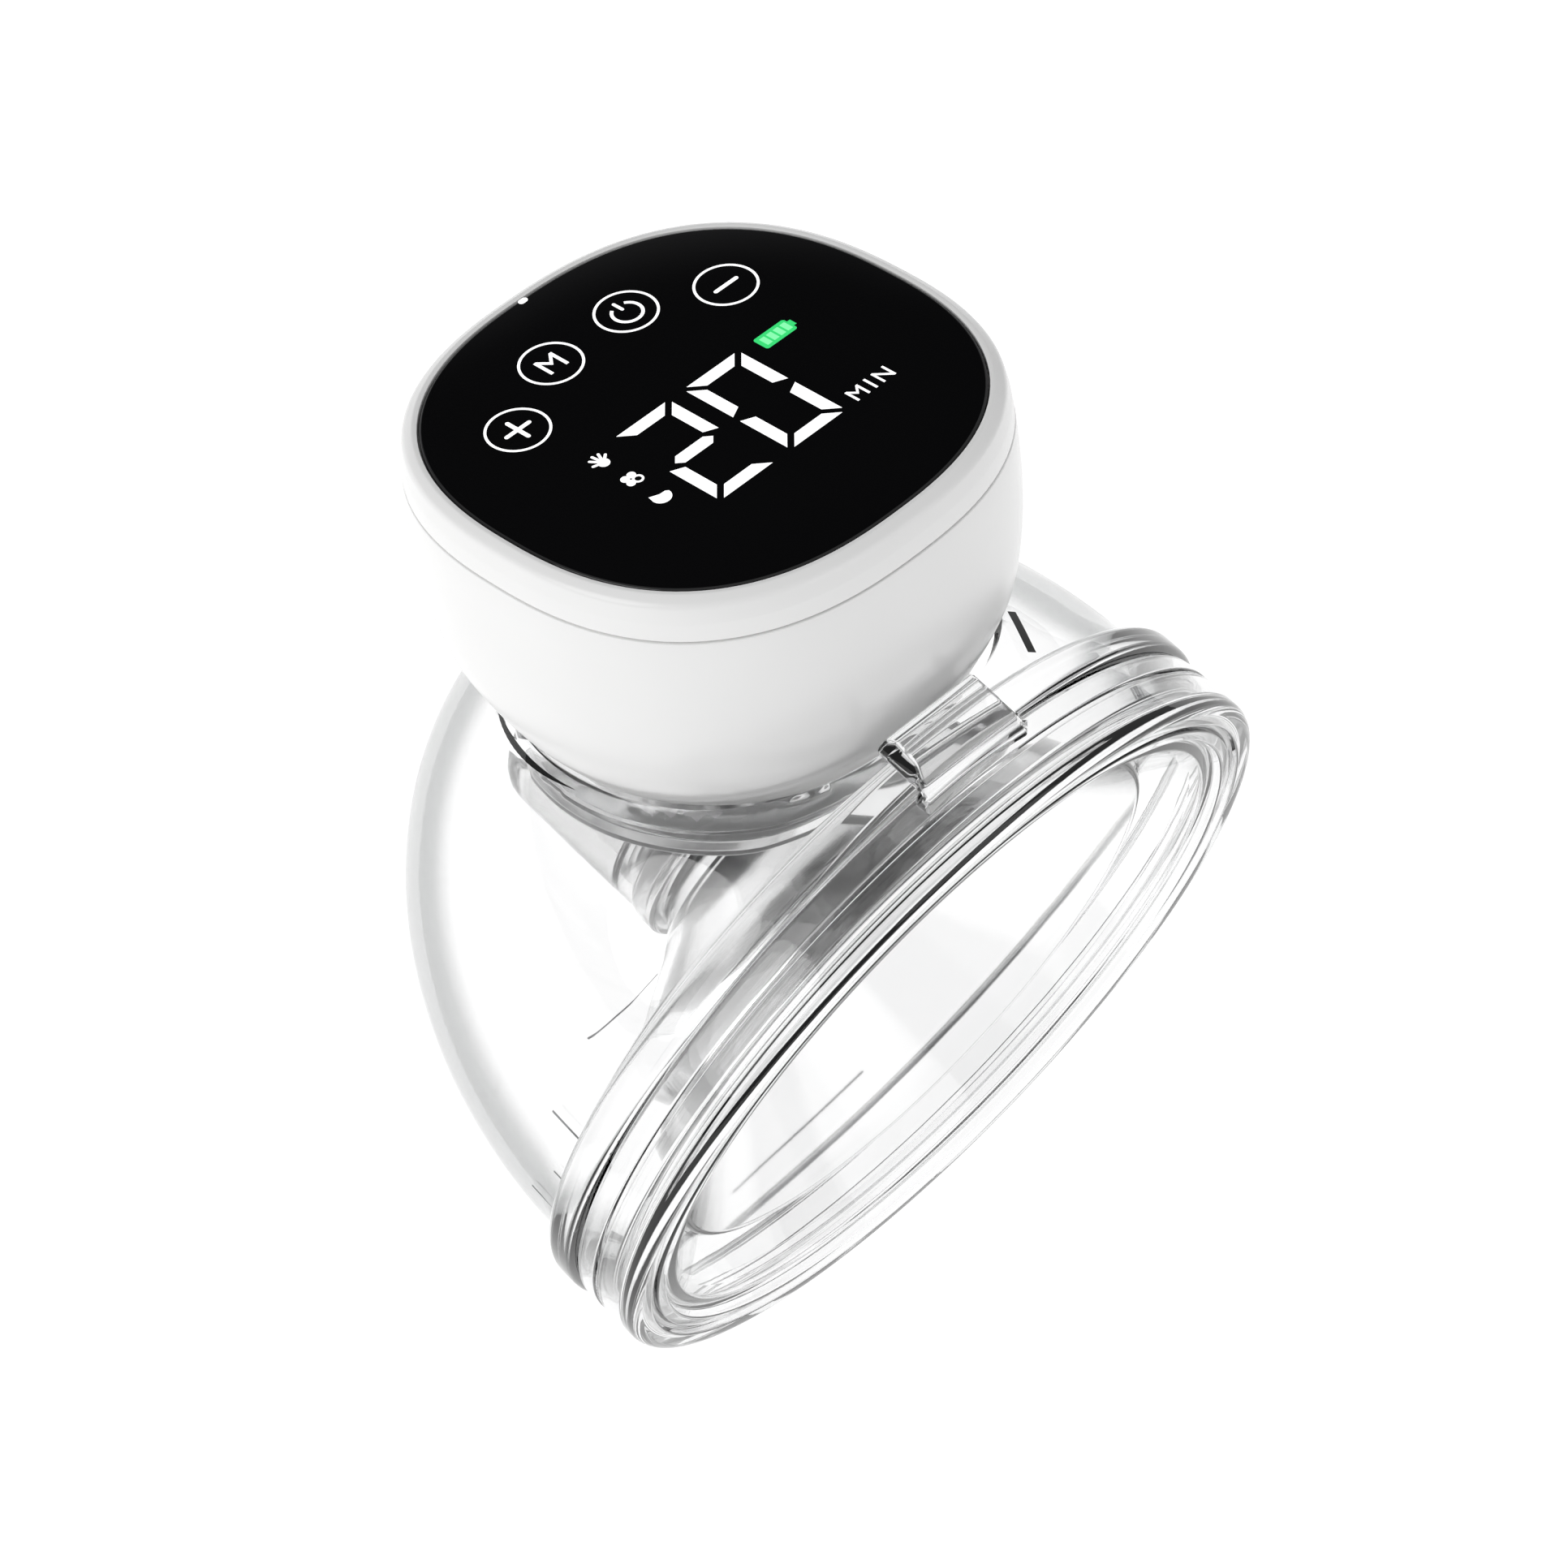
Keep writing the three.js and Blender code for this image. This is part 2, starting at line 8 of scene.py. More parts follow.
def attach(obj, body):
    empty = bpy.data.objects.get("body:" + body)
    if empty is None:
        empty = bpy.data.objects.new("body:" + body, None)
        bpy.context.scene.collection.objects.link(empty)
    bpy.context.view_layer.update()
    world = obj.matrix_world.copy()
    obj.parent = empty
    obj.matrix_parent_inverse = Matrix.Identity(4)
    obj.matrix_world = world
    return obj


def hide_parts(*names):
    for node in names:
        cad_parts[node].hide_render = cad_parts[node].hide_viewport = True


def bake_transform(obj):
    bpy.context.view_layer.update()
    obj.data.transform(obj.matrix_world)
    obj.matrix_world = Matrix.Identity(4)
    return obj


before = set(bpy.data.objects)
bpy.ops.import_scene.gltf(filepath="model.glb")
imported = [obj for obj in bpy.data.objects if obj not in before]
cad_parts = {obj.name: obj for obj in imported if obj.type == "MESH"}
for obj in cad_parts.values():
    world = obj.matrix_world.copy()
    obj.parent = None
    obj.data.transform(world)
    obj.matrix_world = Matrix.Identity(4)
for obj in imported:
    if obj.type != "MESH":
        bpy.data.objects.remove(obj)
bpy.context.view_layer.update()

MM = 0.001
TURN = math.tau

# The motor unit's own frame: x along the display's text, y up the text, z out of the panel.
LEAN = math.radians(20.5)
PANEL_CENTRE = Vector((0, 62, 72.6)) * MM
MOTOR = Matrix.Translation(PANEL_CENTRE) @ Matrix.Rotation(-LEAN, 4, "X")
SQUARENESS = 2.45
PANEL_R = 33.0
BASE = -40.6
FLOOR = -38.8

# The cup and the shield, about the Y axis.
OVAL = 1.025
RIM_R = 56.2
CUP_R = 53.0
CUP_DEPTH = 65.0
CUP_START = 17.0
CUP_WALL = 1.8
TUNNEL_Z = -1.5
NECK_Y = 50.0
VALVE_Y = 58.0


# ---- colours and nodes ----
def colour(code, alpha=1.0):
    """An sRGB hex code as a linear colour."""
    parts = [int(code[i : i + 2], 16) / 255 for i in (1, 3, 5)]
    line = [c / 12.92 if c <= 0.04045 else ((c + 0.055) / 1.055) ** 2.4 for c in parts]
    return (*line, alpha)


def node(tree, kind, inputs=None, **settings):
    """Adds a node; a socket among the inputs is linked, anything else is set."""
    made = tree.nodes.new(kind)
    for key, value in settings.items():
        setattr(made, key, value)
    for key, value in (inputs or {}).items():
        if isinstance(value, bpy.types.NodeSocket):
            tree.links.new(value, made.inputs[key])
        else:
            made.inputs[key].default_value = value
    return made


def new_material(name):
    made = bpy.data.materials.new(name)
    made.use_nodes = True
    made.node_tree.nodes.clear()
    return made, made.node_tree


def close_material(tree, surface, volume=None):
    out = node(tree, "ShaderNodeOutputMaterial")
    tree.links.new(surface.outputs[0], out.inputs["Surface"])
    if volume:
        tree.links.new(volume.outputs[0], out.inputs["Volume"])


def grain(tree, per_mm, detail=2.0, rough=0.5):
    """Noise on Object coordinates with that many cells a millimetre."""
    place = node(tree, "ShaderNodeTexCoord")
    return node(
        tree,
        "ShaderNodeTexNoise",
        {
            "Vector": place.outputs["Object"],
            "Scale": per_mm / MM,
            "Detail": detail,
            "Roughness": rough,
        },
    )


def spread(tree, factor, low, high):
    """Maps a 0 to 1 factor onto low to high."""
    return node(
        tree,
        "ShaderNodeMapRange",
        {"Value": factor, "From Min": 0.3, "From Max": 0.7, "To Min": low, "To Max": high},
    ).outputs["Result"]


def blend_colours(tree, factor, first, second):
    made = node(tree, "ShaderNodeMix", {"Factor": factor}, data_type="RGBA")
    made.inputs["A"].default_value = colour(first)
    made.inputs["B"].default_value = colour(second)
    return made.outputs["Result"]


def moulded(name, first, second, rough, texture_mm, depth_mm, **fixed):
    """A moulded or pressed surface: fine mottling in colour, sheen and height."""
    made, tree = new_material(name)
    noise = grain(tree, 1 / texture_mm, detail=3)
    slow = grain(tree, 0.06, detail=1)
    bump = node(
        tree,
        "ShaderNodeBump",
        {"Height": noise.outputs[0], "Distance": depth_mm * MM, "Strength": 0.5},
    )
    shader = node(
        tree,
        "ShaderNodeBsdfPrincipled",
        {
            "Base Color": blend_colours(tree, slow.outputs[0], first, second),
            "Roughness": spread(tree, slow.outputs[0], rough * 0.88, rough * 1.12),
            "Normal": bump.outputs[0],
            **fixed,
        },
    )
    close_material(tree, shader)
    return made


def clear(name, tint, edge, rough, ior, density, ripple_mm=0.0, facing=(0.6, 0.9), passing=1.0):
    """A clear or frosted body: refracts, and has painted shade: its colour turns to the edge grey where a
    wall is seen along its length.
    """
    made, tree = new_material(name)
    grazing = node(tree, "ShaderNodeLayerWeight", {"Blend": 0.5})
    # painted shade: the base colour is blended towards the grey edge colour where the wall is seen at a
    # grazing angle
    painted_edge_shade = node(
        tree,
        "ShaderNodeMapRange",
        {"Value": grazing.outputs["Facing"], "From Min": facing[0], "From Max": facing[1]},
        interpolation_type="SMOOTHSTEP",
    )
    flow = grain(tree, 0.11, detail=1.5)
    ripple = node(
        tree,
        "ShaderNodeBump",
        {"Height": flow.outputs[0], "Distance": ripple_mm * MM, "Strength": 1.0},
    )
    shader = node(
        tree,
        "ShaderNodeBsdfPrincipled",
        {
            "Base Color": blend_colours(tree, painted_edge_shade.outputs[0], tint, edge),
            "Roughness": rough,
            "IOR": ior,
            "Transmission Weight": passing,
            "Normal": ripple.outputs[0],
        },
    )
    volume = node(
        tree,
        "ShaderNodeVolumeAbsorption",
        {"Color": colour("#7C8082"), "Density": density},
    )
    close_material(tree, shader, volume)
    return made


def lit(name, code, strength):
    """A backlit mark: the panel's ink lets the diode's light through here."""
    made, tree = new_material(name)
    haze = grain(tree, 0.9, detail=1)
    shader = node(
        tree,
        "ShaderNodeBsdfPrincipled",
        {
            "Base Color": colour(code),
            "Roughness": spread(tree, haze.outputs[0], 0.25, 0.35),
            "Emission Color": colour(code),
            "Emission Strength": strength,
        },
    )
    close_material(tree, shader)
    return made


# White ABS, high-gloss moulded: a soft even sheen over a faint orange peel.
white_abs = moulded(
    "glossy_white_abs", "#F6F6F5", "#F2F2F1", 0.24, 0.9, 0.004, IOR=1.52
)
# Black-backed acrylic: deep, hard gloss that shows dark from every side.
black_acrylic = moulded(
    "black_backed_acrylic", "#0D0D0E", "#0B0B0C", 0.07, 3.0, 0.0006, IOR=1.49
)
# Clear moulded plastic: bright through the wall; the grey where it is seen along the wall is painted shade.
clear_cup = clear(
    "clear_copolyester_cup", "#FFFFFF", "#A0A2A2", 0.0, 1.5, 8, 0.012, facing=(0.52, 0.74)
)
# painted shade: #E9EAEA is the shield's grey edge colour where a wall is seen along its length
clear_shield = clear("clear_copolyester_shield", "#FFFFFF", "#E9EAEA", 0.0, 1.5, 15, 0.03)
# The linker has a finely blasted mould, so it is a little milky; its pale grey edge colour is painted shade.
frosted_linker = clear(
    "frosted_polypropylene", "#FDFDFD", "#F0F1F1", 0.1, 1.49, 4, 0.03, passing=0.9
)
# Silicone: soft, slightly hazy, lower index than the hard plastic; its pale grey edge colour is painted
# shade.
clear_silicone = clear("clear_silicone", "#FFFFFF", "#F4F5F5", 0.08, 1.41, 4, 0.01)
lit_white = lit("backlit_white_ink", "#F4F4F4", 0.8)
lit_green = lit("backlit_green_ink", "#30C268", 0.75)
printed_grey = moulded("printed_grey_ink", "#8E9091", "#98999A", 0.6, 0.4, 0.002)
printed_pale = moulded("pale_frosted_ink", "#D4D6D7", "#DCDDDE", 0.6, 0.4, 0.002)
printed_black = moulded("printed_black_ink", "#141414", "#1A1A1A", 0.5, 0.4, 0.002)


# ---- modelling helpers ----
def rounded(corners, steps=5):
    """Corners (a, b) or (a, b, radius) of a closed outline, with the given ones rounded."""
    made = []
    count = len(corners)
    for i, corner in enumerate(corners):
        here = Vector(corner[:2])
        radius = corner[2] if len(corner) > 2 else 0
        if not radius:
            made.append(tuple(here))
            continue
        back = (Vector(corners[i - 1][:2]) - here).normalized()
        ahead = (Vector(corners[(i + 1) % count][:2]) - here).normalized()
        half = back.angle(ahead) / 2
        cut = radius / math.tan(half)
        middle = here + (back + ahead).normalized() * radius / math.sin(half)
        start, end = here + back * cut - middle, here + ahead * cut - middle
        sweep = start.angle_signed(end)
        for k in range(steps + 1):
            turn = Matrix.Rotation(-sweep * k / steps, 2)
            made.append(tuple(middle + turn @ start))
    return made


def arc(centre, radius, start, end, steps):
    """Points of an arc, in degrees."""
    angles = [math.radians(start + (end - start) * k / steps) for k in range(steps + 1)]
    return [(centre[0] + radius * math.cos(a), centre[1] + radius * math.sin(a)) for a in angles]


def outline(name, points, filled=False):
    """A loop of edges, or one flat face, through points in millimetres."""
    bpy.ops.object.select_all(action="DESELECT")
    bpy.ops.mesh.primitive_circle_add(
        vertices=len(points), radius=MM, fill_type="NGON" if filled else "NOTHING"
    )
    piece = bpy.context.object
    piece.name = piece.data.name = name
    for vertex, point in zip(piece.data.vertices, points):
        vertex.co = Vector(point) * MM
    return piece


def tidy(piece, merge=1.5e-6):
    bpy.ops.object.mode_set(mode="EDIT")
    bpy.ops.mesh.select_all(action="SELECT")
    bpy.ops.mesh.remove_doubles(threshold=merge)
    bpy.ops.mesh.dissolve_degenerate(threshold=1e-7)
    bpy.ops.mesh.select_all(action="SELECT")
    bpy.ops.mesh.normals_make_consistent(inside=False)
    bpy.ops.object.mode_set(mode="OBJECT")
    return piece


def turned(name, profile, axis="Z", facets=144):
    """A closed profile of (radius, height) turned about an axis."""
    upright = axis == "Z"
    piece = outline(name, [(r, 0, h) if upright else (r, h, 0) for r, h in profile])
    bpy.ops.object.mode_set(mode="EDIT")
    bpy.ops.mesh.select_all(action="SELECT")
    bpy.ops.mesh.spin(
        steps=facets,
        angle=TURN,
        center=(0, 0, 0),
        axis=(0, 0, 1) if upright else (0, 1, 0),
    )
    bpy.ops.object.mode_set(mode="OBJECT")
    return tidy(piece)


def exponent(height):
    """The motor unit is squarest at the top and rounder at its base."""
    return SQUARENESS if height > -30 else SQUARENESS - 0.035 * (-30 - height)


def squared(piece, power=exponent):
    """Pulls a turned piece out to a superellipse."""
    for vertex in piece.data.vertices:
        x, y, z = vertex.co
        radius = math.hypot(x, y)
        if radius > 1e-7:
            n = power(z / MM)
            k = (abs(x / radius) ** n + abs(y / radius) ** n) ** (-1 / n)
            vertex.co = (x * k, y * k, z)
    return piece


def in_motor(piece):
    piece.data.transform(MOTOR)
    return piece


def prism(name, points, low, high):
    """An outline in the panel's plane, as a plate from low to high."""
    piece = outline(name, [(x, y, low) for x, y in points], filled=True)
    bpy.ops.object.mode_set(mode="EDIT")
    bpy.ops.mesh.select_all(action="SELECT")
    bpy.ops.mesh.extrude_region_move(
        TRANSFORM_OT_translate={"value": (0, 0, (high - low) * MM)}
    )
    bpy.ops.mesh.select_all(action="SELECT")
    bpy.ops.mesh.normals_make_consistent(inside=False)
    bpy.ops.object.mode_set(mode="OBJECT")
    return piece


def block(name, low, high, bevel=0.0):
    """A box between two corners, its edges rounded."""
    middle = (Vector(low) + Vector(high)) / 2 * MM
    bpy.ops.object.select_all(action="DESELECT")
    bpy.ops.mesh.primitive_cube_add(size=1, location=middle)
    piece = bpy.context.object
    piece.name = piece.data.name = name
    piece.scale = (Vector(high) - Vector(low)) * MM
    bpy.ops.object.transform_apply(location=True, rotation=True, scale=True)
    if bevel:
        rounding(piece, bevel)
    return piece


def barrel(name, radius, low, high, x=0.0, y=0.0, facets=48, axis="Z"):
    """A plain round bar, used to cut and to join."""
    bpy.ops.object.select_all(action="DESELECT")
    bpy.ops.mesh.primitive_cylinder_add(
        vertices=facets, radius=radius * MM, depth=(high - low) * MM
    )
    piece = bpy.context.object
    piece.name = piece.data.name = name
    middle = (low + high) / 2
    if axis == "Y":
        piece.data.transform(Matrix.Rotation(math.pi / 2, 4, "X"))
        piece.data.transform(Matrix.Translation(Vector((x, middle, y)) * MM))
    elif axis == "X":
        piece.data.transform(Matrix.Rotation(math.pi / 2, 4, "Y"))
        piece.data.transform(Matrix.Translation(Vector((middle, x, y)) * MM))
    else:
        piece.data.transform(Matrix.Translation(Vector((x, y, middle)) * MM))
    return piece


def only(piece):
    bpy.ops.object.select_all(action="DESELECT")
    piece.select_set(True)
    bpy.context.view_layer.objects.active = piece


def rounding(piece, width, segments=3, angle=40):
    only(piece)
    made = piece.modifiers.new("Bevel", "BEVEL")
    made.width = width * MM
    made.segments = segments
    made.limit_method = "ANGLE"
    made.angle_limit = math.radians(angle)
    bpy.ops.object.modifier_apply(modifier=made.name)
    return piece


def carve(piece, *tools, how="DIFFERENCE"):
    """Cuts away, joins or keeps the tools' space, and removes the tools."""
    for tool in tools:
        only(piece)
        made = piece.modifiers.new("Boolean", "BOOLEAN")
        made.operation = how
        made.solver = "EXACT"
        made.object = tool
        bpy.ops.object.modifier_apply(modifier=made.name)
        bpy.data.objects.remove(tool)
    return piece


def joined(name, pieces):
    bpy.ops.object.select_all(action="DESELECT")
    for piece in pieces:
        piece.select_set(True)
    bpy.context.view_layer.objects.active = pieces[0]
    bpy.ops.object.join()
    piece = bpy.context.object
    piece.name = piece.data.name = name
    return piece


def paint(piece, finish):
    piece.data.materials.clear()
    piece.data.materials.append(finish)


def finish_piece(piece, finish, body, replaced=(), smooth=32):
    only(piece)
    bpy.ops.object.shade_smooth_by_angle(angle=math.radians(smooth))
    paint(piece, finish)
    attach(piece, body)
    if replaced:
        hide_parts(*replaced)
    return piece


def flowing(points, steps=6):
    """A smooth line through points, ends included."""
    made = []
    for i in range(len(points) - 1):
        before = Vector(points[max(i - 1, 0)])
        start, end = Vector(points[i]), Vector(points[i + 1])
        after = Vector(points[min(i + 2, len(points) - 1)])
        for k in range(steps):
            t = k / steps
            made.append(
                tuple(
                    0.5
                    * (
                        2 * start
                        + (end - before) * t
                        + (2 * before - 5 * start + 4 * end - after) * t**2
                        + (3 * start - before - 3 * end + after) * t**3
                    )
                )
            )
    made.append(tuple(points[-1]))
    return made


# ---- motor unit: shells and panel ----
panel = squared(
    turned("touch_panel_face", rounded([(0, -1.6), (PANEL_R, -1.6), (PANEL_R, 0, 0.35), (0, 0)]))
)
finish_piece(in_motor(panel), black_acrylic, "motor_unit", ["touch_panel"])

bezel = squared(
    turned(
        "bezel_ring",
        rounded(
            [
                (33.22, -1.9),
                (33.22, 0.02, 0.08),
                (33.8, 0.1, 0.5),
                (35.1, -0.7, 1.3),
                (35.55, -3.2, 3),
                (35.75, -5.7, 0.15),
                (33.9, -5.7),
                (33.9, -3.6),
                (31, -3.6),
                (31, -1.9),
            ]
        ),
    )
)
finish_piece(in_motor(bezel), white_abs, "motor_unit", ["bezel_shell"])

BOWL = [
    (36.0, -12),
    (35.9, -18),
    (35.2, -25),
    (33.9, -31),
    (32.2, -35.5),
    (30.3, -38.8),
    (28.6, -40.3),
    (26.6, BASE),
]
PORT_Z = -19.0
POCKET_Y = 34.2
POSTS = [(15.5, 16.5), (-15.5, 16.5), (-15.5, -16.5), (15.5, -16.5)]
shell_line = (
    rounded([(33.6, -6), (35.8, -6, 0.15), (35.92, -8.5)])[:-1]
    + flowing([(35.92, -8.5)] + BOWL)
    + [(0, BASE), (0, FLOOR)]
    + flowing([(27.4, FLOOR), (29.6, -37), (32.0, -30.8), (33.2, -25), (33.8, -18), (33.8, -12)], 3)
    + [(32.2, -8.5), (32.2, -4.4), (33.6, -4.4)]
)
lower_shell = squared(turned("lower_shell_bowl", shell_line))
pocket = block(
    "pocket", (-6.7, POCKET_Y, PORT_Z - 3.8), (6.7, 40, PORT_Z + 3.8)
)
slot_cut = block("slot_cut", (-4.8, 28, PORT_Z - 1.95), (4.8, 40, PORT_Z + 1.95))
pad = block("pad", (-8.5, 31.2, PORT_Z - 5.4), (8.5, 34.9, PORT_Z + 5.4))
carve(lower_shell, pad, how="UNION")
carve(lower_shell, pocket, slot_cut, barrel("nozzle_hole", 3.3, BASE - 1, FLOOR + 1))
for x, y in POSTS:
    carve(lower_shell, barrel("screw_seat", 2.3, BASE - 1, BASE + 1, x, y))
    carve(lower_shell, barrel("screw_hole", 1.3, BASE - 1, FLOOR + 1, x, y, 24))
finish_piece(in_motor(lower_shell), white_abs, "motor_unit", ["lower_shell"])

gasket = turned(
    "base_gasket_ring",
    rounded([(17, BASE - 0.3), (17, -42, 0.5), (20, -42, 0.5), (20, BASE - 0.3)], 4),
    facets=96,
)
finish_piece(in_motor(gasket), clear_silicone, "motor_unit", ["base_gasket"])

cover = block(
    "port_cover_flap", (-6.4, POCKET_Y + 0.3, PORT_Z - 3.5), (6.4, POCKET_Y + 1.5, PORT_Z + 3.5)
)
rounding(cover, 0.35)
lug = block("cover_lug", (-4.2, POCKET_Y - 0.25, PORT_Z - 1.3), (4.2, POCKET_Y + 0.7, PORT_Z + 1.3), 0.2)
pull = block("cover_pull", (-2.2, POCKET_Y + 1.3, PORT_Z + 1.9), (2.2, POCKET_Y + 1.75, PORT_Z + 2.8), 0.15)
carve(cover, lug, pull, how="UNION")
soft_white = moulded("white_silicone_cover", "#ECECEB", "#E6E6E5", 0.5, 0.5, 0.002, IOR=1.41)
finish_piece(in_motor(cover), soft_white, "port_cover", ["port_cover"])


# ---- display: backlit segments, icons and printed keys, on the panel's face ----
INK_LOW = -0.03
INK_HIGH = 0.035
DIGIT_W = 7.8
DIGIT_H = 16.9
DIGIT_Y = -5.7
SEGMENT = 1.8
SEGMENT_GAP = 0.62


def placed(points, centre, turn=0.0):
    c, s = math.cos(turn), math.sin(turn)
    return [(centre[0] + x * c - y * s, centre[1] + x * s + y * c) for x, y in points]


def segment(name, length, kind):
    """One bar of a digit, its ends mitred at 45 degrees; kind says which side is the long one."""
    half, t = length / 2 - SEGMENT_GAP, SEGMENT / 2
    if kind == "middle":
        line = [(-half, 0), (-half + t, t), (half - t, t), (half, 0), (half - t, -t), (-half + t, -t)]
    else:
        line = [(-half - t, t), (half + t, t), (half - t, -t), (-half + t, -t)]
    return line


def digit(name, centre_x, bars):
    pieces = []
    w, h = DIGIT_W, DIGIT_H / 2
    places = {
        "top": ((centre_x, DIGIT_Y + h), 0, w, "edge"),
        "bottom": ((centre_x, DIGIT_Y - h), math.pi, w, "edge"),
        "middle": ((centre_x, DIGIT_Y), 0, w, "middle"),
        "upper_left": ((centre_x - w / 2, DIGIT_Y + h / 2), math.pi / 2, h, "edge"),
        "upper_right": ((centre_x + w / 2, DIGIT_Y + h / 2), -math.pi / 2, h, "edge"),
        "lower_left": ((centre_x - w / 2, DIGIT_Y - h / 2), math.pi / 2, h, "edge"),
        "lower_right": ((centre_x + w / 2, DIGIT_Y - h / 2), -math.pi / 2, h, "edge"),
    }
    t = SEGMENT / 2
    for bar in bars:
        centre, turn, length, kind = places[bar]
        line = segment(bar, length, kind)
        if bar in ("upper_left", "upper_right", "lower_left", "lower_right"):
            # an upright is mitred fully at the outer corner and cut to a point at the digit's waist
            half = length / 2 - SEGMENT_GAP
            outer = 1 if bar in ("upper_left", "lower_right") else -1
            far = [(half * outer + t * outer, t), (half * outer - t * outer, -t)]
            near = [(-half * outer + 0.0, t), (-half * outer + t * outer, -t)]
            line = [far[0], near[0], near[1], far[1]]
        pieces.append(prism(name + bar, placed(line, centre, turn), INK_LOW, INK_HIGH))
    return pieces


TWO = ["top", "upper_right", "middle", "lower_left", "bottom"]
ZERO = ["top", "upper_right", "lower_right", "bottom", "lower_left", "upper_left"]
digits = joined("minutes_digits", digit("two_", -7.1, TWO) + digit("nought_", 5.05, ZERO))
finish_piece(in_motor(digits), lit_white, "motor_unit")


def stroke(name, start, end, width):
    """A straight pen line with round ends."""
    a, b = Vector(start), Vector(end)
    heading = math.degrees(math.atan2(b.y - a.y, b.x - a.x))
    line = arc(b, width / 2, heading - 90, heading + 90, 6) + arc(
        a, width / 2, heading + 90, heading + 270, 6
    )
    return prism(name, line, INK_LOW, INK_HIGH)


def curved_stroke(name, centre, radius, start, end, width, steps=28):
    outer = arc(centre, radius + width / 2, start, end, steps)
    inner = arc(centre, radius - width / 2, end, start, steps)
    return prism(name, outer + inner, INK_LOW, INK_HIGH)


def ring(name, centre, radius, width):
    piece = turned(
        name,
        [(radius - width, INK_LOW), (radius, INK_LOW), (radius, INK_HIGH), (radius - width, INK_HIGH)],
        facets=64,
    )
    piece.data.transform(Matrix.Translation(Vector((*centre, 0)) * MM))
    return piece


def lettering(name, words, height, centre, spacing=1.0):
    """Words in plain capitals of a given height."""
    bpy.ops.object.select_all(action="DESELECT")
    bpy.ops.object.text_add()
    text = bpy.context.object
    text.data.body = words
    text.data.align_x = "CENTER"
    text.data.align_y = "CENTER"
    text.data.extrude = 0.5 * (INK_HIGH - INK_LOW) / height
    text.data.resolution_u = 4
    text.data.space_character = spacing
    only(text)
    bpy.ops.object.convert(target="MESH")
    piece = bpy.context.object
    piece.name = piece.data.name = name
    ys = [v.co.y for v in piece.data.vertices]
    size = height / (max(ys) - min(ys)) * MM
    middle = (max(ys) + min(ys)) / 2
    piece.data.transform(Matrix.Translation((0, -middle, 0)))
    piece.data.transform(Matrix.Scale(size, 4))
    piece.data.transform(Matrix.Translation(Vector((*centre, (INK_LOW + INK_HIGH) / 2)) * MM))
    return piece


KEYS = {"plus": (-17.9, 14.3), "mode": (-6.3, 20.5), "power": (6.8, 20.5), "minus": (18.4, 14.3)}
KEY_R = 4.26
marks = [ring(key + "_ring", place, KEY_R, 0.36) for key, place in KEYS.items()]
x, y = KEYS["plus"]
marks += [
    stroke("plus_across", (x - 1.9, y), (x + 1.9, y), 0.6),
    stroke("plus_up", (x, y - 1.9), (x, y + 1.9), 0.6),
]
x, y = KEYS["minus"]
marks.append(stroke("minus_across", (x - 1.8, y), (x + 1.8, y), 0.6))
x, y = KEYS["power"]
marks += [
    curved_stroke("power_circle", (x, y - 0.2), 2.0, 122, 418, 0.45),
    stroke("power_bar", (x, y + 0.7), (x, y + 2.3), 0.45),
]
marks.append(lettering("mode_letter", "M", 3.3, KEYS["mode"]))
key_marks = joined("key_marks", marks)
finish_piece(in_motor(key_marks), lit_white, "motor_unit")

minutes = lettering("minutes_word", "MIN", 2.35, (15.4, -13.9), 1.3)
finish_piece(in_motor(minutes), lit_white, "motor_unit")

# Battery gauge: an outline with its bars lit and a small terminal.
bx, by = 15.3, 2.3
cell = [
    prism(
        "gauge_back",
        rounded([(bx - 2.9, by - 1.35, 0.4), (bx + 2.5, by - 1.35, 0.4), (bx + 2.5, by + 1.35, 0.4), (bx - 2.9, by + 1.35, 0.4)]),
        INK_LOW,
        INK_HIGH - 0.02,
    ),
    prism(
        "gauge_terminal",
        [(bx + 2.5, by - 0.6), (bx + 3.0, by - 0.6), (bx + 3.0, by + 0.6), (bx + 2.5, by + 0.6)],
        INK_LOW,
        INK_HIGH - 0.02,
    ),
]
gauge = joined("battery_gauge", cell)
finish_piece(in_motor(gauge), lit_green, "motor_unit")
bars = joined(
    "battery_bars",
    [
        prism(
            "bar",
            [(bx + d - 0.42, by - 0.8), (bx + d + 0.42, by - 0.8), (bx + d + 0.42, by + 0.8), (bx + d - 0.42, by + 0.8)],
            INK_LOW,
            INK_HIGH,
        )
        for d in (-1.85, -0.65, 0.55, 1.75)
    ],
)
lit_pale_green = lit("backlit_pale_green_ink", "#79DE9C", 0.75)
finish_piece(in_motor(bars), lit_pale_green, "motor_unit")

# Mode icons: an open hand, a flower and a breast-shaped drop.
hand_x, hand_y = -15.7, 1.8
hand = [prism("palm", arc((hand_x, hand_y - 0.5), 0.8, 0, 345, 22), INK_LOW, INK_HIGH)]
for angle, reach in ((158, 1.5), (122, 1.9), (96, 2.0), (70, 1.9), (42, 1.6)):
    tip = (
        hand_x + reach * math.cos(math.radians(angle)),
        hand_y - 0.6 + reach * math.sin(math.radians(angle)),
    )
    hand.append(stroke("finger", (hand_x, hand_y - 0.5), tip, 0.38))
flower_x, flower_y = -15.8, -3.6
petals = [
    prism(
        "petal",
        arc((flower_x + 0.75 * math.cos(a), flower_y + 0.75 * math.sin(a)), 0.6, 0, 342, 18),
        INK_LOW,
        INK_HIGH,
    )
    for a in (math.radians(45 + 90 * k) for k in range(3))
]
petals.append(ring("petal_ring", (flower_x + 0.6, flower_y - 0.6), 0.75, 0.3))
drop_x, drop_y = -15.8, -9.0
